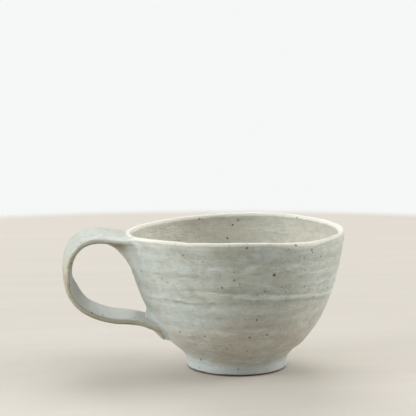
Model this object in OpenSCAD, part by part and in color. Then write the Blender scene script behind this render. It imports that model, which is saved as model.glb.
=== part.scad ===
// Hand-thrown stoneware soup mug: a wide bowl on a turned foot with one pulled strap handle.
// The origin is the centre of the foot on the table, +Z is up and the handle points along -X.

/* [Bowl] */
// Outside diameter of the bowl at its rim
rim_d = 126; // [105:1:145]
// Height from the table to the rim, before the rim's rise and fall
bowl_h = 80; // [70:1:95]
// Thickness of the wall at the rounded rim
rim_t = 3.6; // [2.6:0.1:4.8]
// Thickness of the wall low down, where the clay was left heavier
wall_t = 5.4; // [4.4:0.1:6.6]
// Thickness of the floor inside the foot
floor_t = 5; // [4:0.1:7]
// How far the uneven rim rises above level and dips below it
rim_sway = 2; // [0:0.1:3]
// How far the rim's middle leans off the foot's middle, towards the handle
bowl_lean = 1.4; // [0:0.1:2.5]
// How far the throwing rings stand out of the wall
ring_relief = 0.3; // [0:0.05:0.9]
// Height from one throwing ring to the next
ring_pitch = 7.2; // [6:0.1:10]

/* [Foot] */
// Diameter of the foot at the table
foot_d = 56.5; // [48:0.5:64]
// Height of the foot ring
foot_h = 7.5; // [6:0.1:9]
// Width of the foot ring from its outside to its recess
foot_wall = 7.5; // [6:0.1:9]
// How much wider the radius of the foot is at its top than at the table
foot_flare = 1.1; // [0.3:0.1:2]
// Radius of the softened edges of the foot
foot_edge = 1; // [0.4:0.1:1.6]

/* [Handle] */
// How far the handle reaches out from the rim
strap_reach = 34.8; // [28:0.2:44]
// Thickness of the strap along its middle
strap_t = 4.5; // [3.6:0.1:6.4]
// Width of the strap at the rim
strap_top_w = 39; // [30:0.5:46]
// Width of the strap at the outside of its loop
strap_bend_w = 37; // [28:0.5:44]
// Width of the strap where it comes back to the wall
strap_low_w = 32; // [25:0.5:39]
// Width of the wiped end of the strap
tail_w = 23; // [16:0.5:30]
// Thickness of the wiped end of the strap
tail_t = 2.6; // [1.6:0.1:3.4]
// Drop from the rim to the middle of the strap at its highest
strap_drop = 2.6; // [2.4:0.1:6]
// Height of the middle of the strap along its lower run
strap_low = 31.4; // [27:0.2:36]
// Height of the end of the wiped tail
tail_low = 18; // [15:0.2:21]
// Angle by which the strap is twisted at the outside of its loop
strap_twist = 2; // [0:0.5:6]

/* [Luting] */
// Size of the fillet of clay under the strap at the rim
upper_leg = 15.6; // [9:0.2:18]
// Size of the fillet of clay on the lower end of the strap
lower_leg = 5; // [3:0.2:7]
// Gap left between two pieces that are luted together
slip = 0.3; // [0.2:0.05:0.4]

/* [Hidden] */

rim_r = rim_d / 2;
foot_r = foot_d / 2;
waist_r = foot_r + foot_flare;
lip_r = rim_t / 2;
wall_top = bowl_h - lip_r;
wall_h = bowl_h - foot_h;
floor_z = foot_h + floor_t;

// Facets round the bowl, and rows of them up its wall, over its lip and down inside
round_steps = 60;
outer_rows = 34;
lip_rows = 6;
inner_rows = 16;
well_rows = 6;

// The wall's outline: share of the height above the foot, share of the way from foot to rim
wall_shares = [[0, 0], [0.05, 0.105], [0.145, 0.33], [0.31, 0.575], [0.545, 0.785], [0.78, 0.92], [1, 1]];
// Share of the height at which the inside leaves the wall and turns into the well
well_share = 0.12;
// Share of the well's radius over which the floor is level
level_share = 0.4;

// A second, slower run of rings makes the first uneven
slow_share = 0.61;
// The rim's slow rise and fall: share of the sway, turns round the rim, angle of the crest
sway_shares = [[0.55, 1, -33], [0.45, 2, 65]];

// The middle line of the strap: share of its reach, share of its height
loop_shares = [
    [0.14, 0.972], [0.34, 0.995], [0.55, 1], [0.75, 0.96], [0.9, 0.862], [0.98, 0.73], [1, 0.58],
    [0.992, 0.42], [0.91, 0.288], [0.765, 0.174], [0.59, 0.098], [0.4, 0.043], [0.2, 0.008],
    [0, -0.006]
];
// Where it comes in to the wall: share of the way from under the rim, share of its height
landing_shares = [[0.32, -0.022], [0.56, -0.042], [0.75, -0.08]];
// Share of the strap's height at which it leaves the rim
root_share = 0.955;
// Stops down the wiped tail, as shares of the way from the strap's lower run to the tail's end
tail_shares = [0.46, 0.64, 0.82, 1];
// The strap's section: powers of its outline across and through, share outside its middle line
strap_power = 0.45;
crown_power = 0.5;
crown_share = 0.58;
// How much closer together the steps round the section are at its middle than at its edges
step_power = 1.5;
// How the strap twists along its loop: share of the way, share of the twist
twist_shares = [[0, 0], [0.18, -0.5], [0.45, 1], [0.6, 1], [0.82, 0], [1, 0]];
// Share of the strap's reach over which it bends round the wall
hug_share = 0.4;
strap_steps = 28;
rows_per_stop = 2;

// Shapes of the small fillets: rows along each leg, how hollow, share left at the ends and how fast it grows
fillet_rows = 6;
fillet_hollow_share = 0.66;
fillet_end_share = 0.15;
fillet_end_power = 0.8;
search_steps = 14;
// Stops between a joint and where the strap is well clear of the wall
root_clear = 3;

// The colours of the glaze: over most of the wall, where it pools and where it breaks over an edge
clay_glaze = [0.76, 0.77, 0.73];
pool_glaze = [0.75, 0.79, 0.80];
edge_glaze = [0.85, 0.85, 0.81];

function mix(a, b, k) = a + (b - a) * k;
function ease(k) = let (c = min(1, max(0, k))) c * c * (3 - 2 * c);

// A smooth curve through a table of [place, value] pairs
function table_row(table, x, i = 0) =
    i >= len(table) - 2 || x <= table[i + 1][0] ? i : table_row(table, x, i + 1);
function table_slope(table, i) =
    let (a = max(0, i - 1), b = min(len(table) - 1, i + 1))
    (table[b][1] - table[a][1]) / (table[b][0] - table[a][0]);
function table_value(table, x) =
    let (
        i = table_row(table, x),
        span = table[i + 1][0] - table[i][0],
        k = (x - table[i][0]) / span
    )
    table[i][1] * (1 - k) * (1 - k) * (1 + 2 * k)
    + table[i + 1][1] * k * k * (3 - 2 * k)
    + span * k * (1 - k) * (table_slope(table, i) * (1 - k) - table_slope(table, i + 1) * k);

// The bowl before its rim sways: radius at a height, its slope, and the rings left by the fingers
function wall_radius(z) = mix(waist_r, rim_r, table_value(wall_shares, (z - foot_h) / wall_h));
function wall_slope(z) = (wall_radius(z + slip) - wall_radius(z - slip)) / (2 * slip);
function ring_fade(z) = ease((z - foot_h) / (2 * ring_pitch)) * ease((wall_top - z) / ring_pitch);
function ring_wave(z, turn) =
    ring_fade(z) * (sin(360 * z / ring_pitch - turn) + sin(360 * slow_share * z / ring_pitch + turn)) / 2;
function sway(turn) =
    rim_sway * (sway_shares[0][0] * cos(sway_shares[0][1] * (turn - sway_shares[0][2]))
    + sway_shares[1][0] * cos(sway_shares[1][1] * (turn - sway_shares[1][2])));
function raise(z, turn) = foot_h + (z - foot_h) * (1 + sway(turn) / wall_h);
function lower(z, turn) = foot_h + (z - foot_h) / (1 + sway(turn) / wall_h);
// How far the bowl's middle has leant over at a height
function lean(z) = bowl_lean * (z - foot_h) / wall_h;

// How far out the wall's face is at a height, y to one side of the handle's middle
function seat_reach(z, y) =
    let (
        near = min(wall_top, max(foot_h, z)),
        turn = 180 - asin(y / wall_radius(near)),
        level = min(wall_top, max(foot_h, lower(near, turn))),
        r = wall_radius(level) + ring_relief / 2 * ring_wave(level, turn)
    )
    sqrt(r * r - y * y) + lean(level) + slip;

// A point of the wall's inside: the outside's point, moved in square to the wall
function inner_point(z) =
    let (m = wall_slope(z), k = sqrt(1 + m * m), t = mix(wall_t, rim_t, ease((z - foot_h) / wall_h)))
    [wall_radius(z) - t / k, z + t * m / k];
function bezier(a, b, c, k) = a * (1 - k) * (1 - k) + b * 2 * k * (1 - k) + c * k * k;

outer_line = [for (i = [0 : outer_rows]) let (z = mix(foot_h, wall_top, i / outer_rows)) [wall_radius(z), z]];
lip_line = [
    for (i = [1 : lip_rows - 1]) let (a = 180 * i / lip_rows)
    [rim_r - lip_r + lip_r * cos(a), wall_top + lip_r * sin(a)]
];
well_z = foot_h + wall_h * well_share;
inner_top = wall_top - (inner_point(wall_top)[1] - wall_top);
inner_line = [for (i = [0 : inner_rows]) inner_point(mix(inner_top, well_z, i / inner_rows))];
well_edge = inner_point(well_z);
well_knee = [well_edge[0] - wall_slope(well_z) * (well_edge[1] - floor_z), floor_z];
well_line = [
    for (i = [1 : well_rows])
    bezier(well_edge, well_knee, [well_edge[0] * level_share, floor_z], i / well_rows)
];
bowl_line = concat(outer_line, lip_line, inner_line, well_line);
outer_count = len(outer_line);

module bowl() {
    rows = len(bowl_line);
    skin = [
        for (i = [0 : rows - 1], j = [0 : round_steps - 1])
        let (
            turn = 360 * j / round_steps,
            relief = i < outer_count ? ring_relief / 2 : ring_relief / 4,
            r = bowl_line[i][0] + (i < rows - well_rows ? relief * ring_wave(bowl_line[i][1], turn) : 0)
        )
        [r * cos(turn) - lean(bowl_line[i][1]), r * sin(turn), raise(bowl_line[i][1], turn)]
    ];
    ends = [[0, 0, foot_h], [-lean(floor_z), 0, floor_z]];
    last = (rows - 1) * round_steps;
    base = rows * round_steps;
    sides = [
        for (i = [0 : rows - 2], j = [0 : round_steps - 1])
        let (a = i * round_steps, k = (j + 1) % round_steps)
        each [[a + j, a + round_steps + j, a + k], [a + k, a + round_steps + j, a + round_steps + k]]
    ];
    discs = [
        for (j = [0 : round_steps - 1]) let (k = (j + 1) % round_steps)
        each [[j, k, base], [last + k, last + j, base + 1]]
    ];
    color(clay_glaze) polyhedron(concat(skin, ends), concat(sides, discs));
}

function corner(x, z, from) =
    [for (i = [0 : 4]) let (a = from + 90 * i / 4) [x + foot_edge * cos(a), z + foot_edge * sin(a)]];

module foot_ring() {
    inner_r = foot_r - foot_wall;
    color(pool_glaze) rotate_extrude($fn = 96)
        polygon(concat(
            corner(foot_r - foot_edge, foot_edge, -90),
            [[waist_r, foot_h], [inner_r, foot_h]],
            corner(inner_r + foot_edge, foot_edge, 180)
        ));
}

// The strap's middle line: out from the rim, round the loop and down the wall
line_start = rim_r + bowl_lean;
line_reach = strap_reach - strap_t / 2;
strap_top = bowl_h - strap_drop;
root_z = mix(strap_low, strap_top, root_share);
loop_line = [for (p = loop_shares) [line_start + line_reach * p[0], mix(strap_low, strap_top, p[1])]];
landing_line = [
    for (p = landing_shares) let (z = mix(strap_low, strap_top, p[1]))
    [mix(line_start, seat_reach(z, 0), p[0]), z]
];
function tail_stop(p) =
    let (z = mix(strap_low, tail_low, p), t = mix(strap_t, tail_t, p), m = wall_slope(z), k = sqrt(1 + m * m))
    [seat_reach(z, 0) + t * (1 - crown_share) / k, z];
tail_line = [for (p = tail_shares) tail_stop(p)];
strap_line = concat([[seat_reach(root_z, 0), root_z]], loop_line, landing_line, tail_line);
stops = len(strap_line) - 1;
loop_stops = len(loop_line) + len(landing_line);
bend_stop = loop_stops / 2;
hug_reach = strap_reach * hug_share;

// The line, its direction and its outward side at stop s
function stop_at(i) = strap_line[min(stops, max(0, i))];
function line_point(s) =
    let (
        i = min(stops - 1, floor(s)), k = s - i,
        a = stop_at(i - 1), b = stop_at(i), c = stop_at(i + 1), d = stop_at(i + 2)
    )
    (b * 2 + (c - a) * k + (a * 2 - b * 5 + c * 4 - d) * k * k + (b * 3 - a - c * 3 + d) * k * k * k) / 2;
function line_way(s) =
    let (step = 0.05, v = line_point(min(stops, s + step)) - line_point(max(0, s - step)))
    v / norm(v);
function line_side(s) = let (v = line_way(s)) [-v[1], v[0]];
function strap_width(s) =
    s < bend_stop ? mix(strap_top_w, strap_bend_w, ease(s / bend_stop))
    : s < loop_stops ? mix(strap_bend_w, strap_low_w, ease((s - bend_stop) / (loop_stops - bend_stop)))
    : mix(strap_low_w, tail_w, ease((s - loop_stops) / (stops - loop_stops)));
function strap_depth(s) = mix(strap_t, tail_t, ease((s - loop_stops) / (stops - loop_stops)));

function twist(s) = tan(strap_twist) * table_value(twist_shares, min(1, s / loop_stops));
// The angle at step j round the section
function section_turn(j) =
    let (half = strap_steps / 2, x = (j % half) * 2 / half - 1)
    180 * floor(j / half) + 90 + 90 * sign(x) * pow(abs(x), step_power);

// How far the strap, pressed round the wall near its ends, bends back at a side
function hug(p, y) =
    let (wall = seat_reach(p[1], 0))
    (wall - seat_reach(p[1], y)) * (1 - ease((p[0] - wall) / hug_reach));
// A point at stop s and angle a round the strap's section, 90 being outward, and gap inside its skin
function strap_free(s, a, gap = 0) =
    let (
        c = cos(a), y = strap_width(s) / 2 * sign(c) * pow(abs(c), strap_power),
        h = sin(a) > 0 ? crown_share : crown_share - 1,
        o = strap_depth(s) * h * pow(abs(sin(a)), crown_power),
        p = line_point(s) + line_side(s) * (o - gap - y * twist(s))
    )
    [p[0] - hug(p, y), y, p[1]];
// The same point, kept on the outside of the bowl's wall
function strap_skin(s, a, gap = 0) =
    let (p = strap_free(s, a, gap), wall = seat_reach(p[2], p[1]))
    [s == 0 ? wall : max(p[0], wall), p[1], p[2]];
function in_frame(p) = [-p[0], p[1], p[2]];

module handle_strap() {
    rows = stops * rows_per_stop;
    half = strap_steps / 2;
    skin = [
        for (i = [0 : rows], j = [0 : strap_steps - 1])
        in_frame(strap_skin(i / rows_per_stop, section_turn(j)))
    ];
    last = rows * strap_steps;
    sides = [
        for (i = [0 : rows - 1], j = [0 : strap_steps - 1])
        let (a = i * strap_steps, k = (j + 1) % strap_steps)
        each [[a + j, a + k, a + strap_steps + j], [a + k, a + strap_steps + k, a + strap_steps + j]]
    ];
    caps = [
        for (j = [0 : half - 1])
        let (a = strap_steps - j, b = strap_steps - j - 1, c = a % strap_steps)
        each [
            [j, c, j + 1], [c, b, j + 1],
            [last + j + 1, last + c, last + j], [last + j + 1, last + b, last + c]
        ]
    ];
    thick = [for (f = caps) if (f[0] != f[1] && f[1] != f[2] && f[0] != f[2]) f];
    color(edge_glaze) polyhedron(skin, concat(sides, thick));
}

// The stop at which the strap's inner face stands reach off the wall, between one near and one clear of it
function stop_at_reach(a, reach, near, clear, n = search_steps) =
    let (s = (near + clear) / 2, p = strap_free(s, a, slip), out = p[0] - seat_reach(p[2], p[1]) > reach)
    n == 0 ? s
    : out ? stop_at_reach(a, reach, near, s, n - 1)
    : stop_at_reach(a, reach, s, clear, n - 1);

// One section of a fillet: its corner, out along the strap, back over the hollow face, in along the wall
function fillet_section(a, leg, start, clear, way) =
    let (
        full = pow(max(0, 1 - pow(abs(cos(a)), 2 * strap_power)), fillet_end_power),
        e = leg * mix(fillet_end_share, 1, full),
        first = start == 0 ? 0 : stop_at_reach(270, 0, start, clear),
        last = stop_at_reach(a, e, start, clear),
        heel = strap_skin(first, a, slip),
        along = [for (k = [1 : fillet_rows]) strap_skin(mix(first, last, k / fillet_rows), a, slip)],
        down = [
            for (k = [0 : fillet_rows]) let (z = heel[2] + way * e * k / fillet_rows)
            [seat_reach(z, heel[1]), heel[1], z]
        ],
        toe = along[fillet_rows - 1],
        foot = down[fillet_rows],
        hollow = mix((toe + foot) / 2, down[0], fillet_hollow_share)
    )
    concat(
        [down[0]], along,
        [for (k = [1 : fillet_rows]) bezier(toe, hollow, foot, k / (fillet_rows + 1))],
        [for (k = [fillet_rows : -1 : 1]) down[k]]
    );

// A fillet of clay worked into the corner between the strap's inner face and the wall.
// The side steps left off at each end keep it between the strap's rounded edges.
module fillet(leg, start, clear, way, left_off) {
    half = strap_steps / 2;
    first = half + left_off;
    last_step = strap_steps - left_off;
    order = way < 0 ? [first : last_step] : [last_step : -1 : first];
    sections = [for (j = order) fillet_section(section_turn(j), leg, start, clear, way)];
    count = len(sections[0]);
    sides = [
        for (i = [0 : len(sections) - 2], j = [0 : count - 1])
        let (a = i * count, k = (j + 1) % count)
        each [[a + j, a + k, a + count + j], [a + k, a + count + k, a + count + j]]
    ];
    last = (len(sections) - 1) * count;
    ends = [for (j = [1 : count - 2]) each [[0, j + 1, j], [last, last + j, last + j + 1]]];
    polyhedron([for (section = sections, p = section) in_frame(p)], concat(sides, ends));
}

module upper_luting_coil() {
    color(clay_glaze) fillet(upper_leg, 0, root_clear, -1, 0);
}

module lower_luting_coil() {
    color(clay_glaze) fillet(lower_leg, stops, loop_stops - root_clear, 1, 1);
}

bowl();
foot_ring();
handle_strap();
upper_luting_coil();
lower_luting_coil();
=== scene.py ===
import math
from types import SimpleNamespace

import bpy
import numpy as np
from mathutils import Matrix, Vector
from mathutils.bvhtree import BVHTree


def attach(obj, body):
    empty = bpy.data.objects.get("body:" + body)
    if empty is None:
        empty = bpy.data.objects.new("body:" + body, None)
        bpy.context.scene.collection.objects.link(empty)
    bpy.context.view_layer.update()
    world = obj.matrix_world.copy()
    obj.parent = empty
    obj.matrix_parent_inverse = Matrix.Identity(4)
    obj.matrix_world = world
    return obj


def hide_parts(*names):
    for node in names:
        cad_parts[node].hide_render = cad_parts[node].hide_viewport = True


# Hand-thrown soup mug: glazed stoneware bowl on a turned foot, with one pulled strap handle.
# Metres throughout, +Z up, origin at the centre of the foot, handle towards -X.

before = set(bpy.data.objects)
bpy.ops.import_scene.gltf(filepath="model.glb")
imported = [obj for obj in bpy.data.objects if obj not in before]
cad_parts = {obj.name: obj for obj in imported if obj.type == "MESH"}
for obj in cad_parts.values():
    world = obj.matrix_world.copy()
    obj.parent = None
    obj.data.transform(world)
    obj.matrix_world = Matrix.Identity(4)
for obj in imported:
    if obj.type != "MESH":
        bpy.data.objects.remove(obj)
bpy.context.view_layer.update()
print("frame loaded:", sorted(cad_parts))


# Small helpers for node trees

def addNode(tree, kind, inputs=None, **settings):
    node = tree.nodes.new(kind)
    for name, value in settings.items():
        setattr(node, name, value)
    for key, value in (inputs or {}).items():
        if isinstance(value, bpy.types.NodeSocket):
            tree.links.new(value, node.inputs[key])
        else:
            node.inputs[key].default_value = value
    return node


def join(kind, inputs, **settings):  # a new node in the tree that its inputs come from
    trees = [value.id_data for value in inputs.values() if isinstance(value, bpy.types.NodeSocket)]
    return addNode(trees[0], kind, inputs, **settings)


def calc(operation, *values, clamp=False):
    return join("ShaderNodeMath", dict(enumerate(values)), operation=operation, use_clamp=clamp).outputs[0]


def chain(operation, values, clamp):  # the operation on all the values, from left to right
    result = values[0]
    for value in values[1:-1]:
        result = calc(operation, result, value)
    return calc(operation, result, values[-1], clamp=clamp)


def plus(*values, clamp=False):
    return chain("ADD", values, clamp)


def minus(a, b):
    return calc("SUBTRACT", a, b)


def times(*values, clamp=False):
    return chain("MULTIPLY", values, clamp)


def centred(value, amount):  # a value of 0 to 1 as a swing to both sides of 0
    return times(minus(value, 0.5), amount)


def vectorMath(operation, a, b, output="Vector"):
    return join("ShaderNodeVectorMath", {0: a, 1: b}, operation=operation).outputs[output]


def scaled(vector, amount):
    return join("ShaderNodeVectorMath", {0: vector, "Scale": amount}, operation="SCALE").outputs[0]


def smoothMask(value, low, high):  # 0 at low, 1 at high; low may be the larger
    span = {"Value": value, "From Min": min(low, high), "From Max": max(low, high)}
    share = join("ShaderNodeMapRange", span, interpolation_type="SMOOTHSTEP").outputs["Result"]
    return share if low < high else minus(1.0, share)


def ease(k):
    c = np.clip(k, 0.0, 1.0)
    return c * c * (3 - 2 * c)


def ramp(values, start, run):  # 0 at the start, 1 after the run, which may go either way
    return ease((values - start) / run)


def mixed(a, b, k):
    return a + (b - a) * k


# The bowl as it came off the wheel; turns are angles, and places round the bowl degrees right of its front

bowl = {
    "rimRadius": 0.063,
    "height": 0.080,
    "rimThickness": 0.0036,
    "wallThickness": 0.0054,
    "floorThickness": 0.005,
    "wellShare": 0.12,  # share of the wall's height at which the well rounds into the floor
    "levelShare": 0.4,  # share of the well's radius at which the floor is level
    "rimSway": 0.002,
    "tiltShare": 0.55,  # the rim's sway is part tilt and part saddle
    "tiltTurn": math.radians(33),
    "saddleShare": 0.45,
    "saddleTurn": math.radians(130),
    "lean": 0.0014,
    "ringRelief": 0.0003,
    "ringPitch": 0.0072,
    "slowShare": 0.61,
    "ridgeWaver": 0.0046,
    "ridgeShelf": 0.55,
    "lumps": 0.0009,
    "dimples": 0.00034,
    "fingerLines": 0.00016,
    "rimWobble": 0.0011,
    "wobbleStart": 0.066,
    "seed": 4.0,
    "frontTurn": math.radians(-99),  # the side of the bowl that faces the camera
}
lip = {
    "start": 0.070,  # where the lip's own shape sets in, and over which height
    "run": 0.008,
    "folds": [(35, 20, 0.0010), (-74, 26, 0.0006)],  # place round the bowl, half width, thickness
    "innerShare": -0.4,
    "dips": [(40, 24, 0.0010), (-24, 9, 0.0004), (0, 60, -0.0003)],  # place, half width, depth
    "crest": 0.0035,
    "wideCrest": [(33, 18, 0.0024)],
}
foot = {
    "radius": 0.02825,
    "height": 0.0075,
    "wall": 0.0075,
    "flare": 0.0011,
    "edge": 0.0011,
    "flareStart": 0.0016,
    "waistBelow": 0.0032,  # how far below and above the waist the glaze rounds the corner
    "waistAbove": 0.0062,
    "tuck": 0.0006,
    "inset": 0.0004,
    "flatBelow": 0.0004,  # nothing this low goes under the table
}
waistRadius = foot["radius"] + foot["flare"]
wallTop = bowl["height"] - bowl["rimThickness"] / 2
wallHeight = bowl["height"] - foot["height"]
wallShares = [(0, 0), (0.05, 0.105), (0.145, 0.33), (0.31, 0.575), (0.545, 0.785), (0.78, 0.92), (1, 1)]
throwNoise = {  # scale and detail of each unevenness
    "ridgeWaver": (120.0, 2.0),
    "patches": (62.0, 1.0),
    "lumps": (26.0, 1.0),
    "dimples": (110.0, 3.0),
    "fingerLines": (1.0, 2.0),
    "rimWobble": (42.0, 1.0),
}
lineStretch = (22.0, 22.0, 420.0)

# Ridges left by the fingers: height, fall per turn to the right, place round the bowl, half width
# round it, relief and width up the wall
fingerRidges = [
    (0.0493, -0.0034, 30, 66, 0.00074, 0.0013),
    (0.0469, -0.0030, 34, 50, -0.00022, 0.0009),
    (0.0519, -0.0028, 12, 30, -0.00030, 0.0009),
    (0.0474, 0.0012, -34, 46, 0.00030, 0.0013),
    (0.0455, 0.0008, -30, 36, -0.00016, 0.0008),
    (0.0562, 0.0010, 58, 26, 0.00036, 0.0011),
    (0.0618, -0.0010, 46, 36, 0.00028, 0.0012),
    (0.0672, 0.0010, 10, 40, 0.00018, 0.0011),
    (0.0415, 0.0015, 12, 40, 0.00022, 0.0014),
    (0.0262, -0.0010, -20, 50, 0.00018, 0.0020),
    (0.0580, 0.0020, 150, 70, 0.00045, 0.0018),
    (0.0430, -0.0020, 165, 80, 0.00045, 0.0020),
    (0.0500, 0.0020, -120, 50, 0.00040, 0.0018),
]


def tableValue(table, x):  # a smooth curve through the table's points
    places = np.array([p[0] for p in table], float)
    values = np.array([p[1] for p in table], float)
    before = np.maximum(np.arange(len(table)) - 1, 0)
    after = np.minimum(np.arange(len(table)) + 1, len(table) - 1)
    slopes = (values[after] - values[before]) / (places[after] - places[before])
    i = np.clip(np.searchsorted(places, x, side="left") - 1, 0, len(table) - 2)
    span = places[i + 1] - places[i]
    k = (x - places[i]) / span
    return (values[i] * (1 - k) ** 2 * (1 + 2 * k) + values[i + 1] * k * k * (3 - 2 * k)
            + span * k * (1 - k) * (slopes[i] * (1 - k) - slopes[i + 1] * k))


def wallRadius(z):
    share = (np.asarray(z, float) - foot["height"]) / wallHeight
    return waistRadius + (bowl["rimRadius"] - waistRadius) * tableValue(wallShares, share)


def footRadius(z):
    return foot["radius"] + foot["flare"] * np.asarray(z, float) / foot["height"]


def outerRadius(z):  # foot and wall in one line, with the waist between them rounded by glaze
    z = np.asarray(z, float)
    low, high = foot["height"] - foot["waistBelow"], foot["height"] + foot["waistAbove"]
    waist = bezier(footRadius(low), waistRadius, wallRadius(high), (z - low) / (high - low))
    return np.where(z < low, footRadius(z), np.where(z > high, wallRadius(z), waist))


def sway(turn):
    tilt = bowl["tiltShare"] * np.cos(turn + bowl["tiltTurn"])
    return bowl["rimSway"] * (tilt + bowl["saddleShare"] * np.cos(2 * turn - bowl["saddleTurn"]))


def wallSlope(z):
    step = 0.0002
    return (wallRadius(z + step) - wallRadius(z - step)) / (2 * step)


def innerPoint(z):
    m = wallSlope(z)
    k = np.sqrt(1 + m * m)
    t = mixed(bowl["wallThickness"], bowl["rimThickness"], ease((z - foot["height"]) / wallHeight))
    return wallRadius(z) - t / k, z + t * m / k


def nearTurn(turn, middle, halfWidth):  # 1 at a place round the bowl, 0 beyond the half width
    away = np.abs((turn - math.radians(middle) - bowl["frontTurn"] + math.pi) % (2 * math.pi) - math.pi)
    return ease(1 - away / math.radians(halfWidth))


def roundBowl(turn, table):
    return sum(nearTurn(turn, middle, halfWidth) * size for middle, halfWidth, size in table)


def bezier(a, b, c, k):
    return a * (1 - k) ** 2 + 2 * b * k * (1 - k) + c * k * k


def bowlLine():  # the outline from the middle of the underside, up, over the lip and down inside
    tuck, footTop = foot["tuck"], foot["height"]
    base = footTop - tuck
    recess = foot["radius"] - foot["wall"]
    under = [(r, footTop) for r in np.linspace(0, recess + tuck, 6)]
    under += [(recess + 2 * tuck, base), (waistRadius - 2 * tuck, base)]
    wall = [(float(outerRadius(z)), z) for z in np.linspace(footTop, wallTop, 150)]
    wall.insert(1, (wall[0][0] - tuck / 6, footTop))
    wall[0] = (wall[0][0] - tuck / 2, base)
    lipRadius = bowl["rimThickness"] / 2
    lipLine = [(bowl["rimRadius"] - lipRadius + lipRadius * math.cos(a), wallTop + lipRadius * math.sin(a))
               for a in np.linspace(0, math.pi, 14)[1:-1]]
    wellTop = footTop + wallHeight * bowl["wellShare"]
    innerTop = 2 * wallTop - innerPoint(wallTop)[1]
    inside = [tuple(map(float, innerPoint(z))) for z in np.linspace(innerTop, wellTop, 56)]
    edge = inside[-1]
    floorHeight = footTop + bowl["floorThickness"]
    knee = (edge[0] - wallSlope(wellTop) * (edge[1] - floorHeight), floorHeight)
    level = (edge[0] * bowl["levelShare"], floorHeight)
    well = [tuple(float(bezier(edge[i], knee[i], level[i], k)) for i in (0, 1))
            for k in np.linspace(0, 1, 17)[1:]]
    floor = [(r, floorHeight) for r in np.linspace(level[0], 0, 7)[1:]]
    return under, wall, lipLine, inside, well + floor


def roundTurns():  # finer steps round the bowl where the handle joins it
    coarse = np.radians(np.linspace(-156, 156, 272))
    fine = np.radians(np.linspace(156, 204, 87))[1:-1]
    return np.concatenate([coarse, fine])


def addMesh(name, points, faces):
    mesh = bpy.data.meshes.new(name)
    mesh.from_pydata(points, [], faces)
    mesh.update()
    return mesh


def latheMesh(name, line, turns):
    onAxis = 1e-6
    rows = [p for p in line if p[0] > onAxis]
    count = len(turns)
    points = [(r * math.cos(t), r * math.sin(t), z) for r, z in rows for t in turns]
    last = (len(rows) - 1) * count
    joined = [(a, a + count) for a in range(0, last, count)]
    if line[0][0] > onAxis:  # a ring: its last row joins its first
        joined.append((last, 0))
    faces = [(a + j, a + (j + 1) % count, b + (j + 1) % count, b + j)
             for a, b in joined for j in range(count)]
    if line[0][0] < onAxis:
        faces += [(len(points), (j + 1) % count, j) for j in range(count)]
        points.append((0, 0, line[0][1]))
    if line[-1][0] < onAxis:
        faces += [(len(points), last + j, last + (j + 1) % count) for j in range(count)]
        points.append((0, 0, line[-1][1]))
    return addMesh(name, points, faces), len(rows), count


def addPiece(name, mesh):
    piece = bpy.data.objects.new(name, mesh)
    bpy.context.scene.collection.objects.link(piece)
    mesh.polygons.foreach_set("use_smooth", [True] * len(mesh.polygons))
    return piece


def storeValues(mesh, name, values):  # one value for each point, or one for all
    attribute = mesh.attributes.get(name) or mesh.attributes.new(name, "FLOAT", "POINT")
    attribute.data.foreach_set("value", np.broadcast_to(values, len(mesh.vertices)).astype(np.float32))


def readVectors(mesh, name):
    vectors = np.zeros(len(mesh.vertices) * 3)
    mesh.vertices.foreach_get(name, vectors)
    return vectors.reshape(-1, 3)


def readPoints(mesh):
    return readVectors(mesh, "co")


def readNormals(mesh):
    return readVectors(mesh, "normal")


def writePoints(mesh, points):
    mesh.vertices.foreach_set("co", np.asarray(points, np.float32).ravel())
    mesh.update()


def startTree(name, inputNames):
    tree = bpy.data.node_groups.new(name, "GeometryNodeTree")
    for side in ("INPUT", "OUTPUT"):
        tree.interface.new_socket(name="Geometry", in_out=side, socket_type="NodeSocketGeometry")
    for inputName in inputNames:
        socket = tree.interface.new_socket(name=inputName, in_out="INPUT", socket_type="NodeSocketFloat")
        socket.default_value, socket.min_value, socket.max_value = 0.0, 0.0, 10.0
    given = addNode(tree, "NodeGroupInput").outputs
    return tree, given, addNode(tree, "GeometryNodeInputPosition").outputs[0]


def alongNormal(relief):
    return scaled(addNode(relief.id_data, "GeometryNodeInputNormal").outputs[0], relief)


def endTree(geometry, offset, material):
    moved = join("GeometryNodeSetPosition", {"Geometry": geometry, "Offset": offset})
    real = join("GeometryNodeRealizeInstances", {"Geometry": moved.outputs[0]})
    painted = join("GeometryNodeSetMaterial", {"Geometry": real.outputs[0], "Material": material})
    join("NodeGroupOutput", {0: painted.outputs[0]})


def runTree(piece, tree, values):  # runs the tree on the piece and leaves a plain mesh
    modifier = piece.modifiers.new(tree.name, "NODES")
    modifier.node_group = tree
    for item in tree.interface.items_tree:
        if item.in_out == "INPUT" and item.name in values:
            modifier[item.identifier] = values[item.name]
    depsgraph = bpy.context.evaluated_depsgraph_get()
    plain = bpy.data.meshes.new_from_object(piece.evaluated_get(depsgraph))
    piece.modifiers.remove(modifier)
    plain.name = piece.data.name
    piece.data = plain
    plain.update()


def pointValue(tree, name):
    return addNode(tree, "GeometryNodeInputNamedAttribute", {"Name": name}, data_type="FLOAT").outputs[0]


def seededNoise(vector, seed, scale, detail):
    inputs = {"Vector": vector, "W": seed, "Scale": scale, "Detail": detail}
    return join("ShaderNodeTexNoise", inputs, noise_dimensions="4D").outputs[0]


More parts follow.
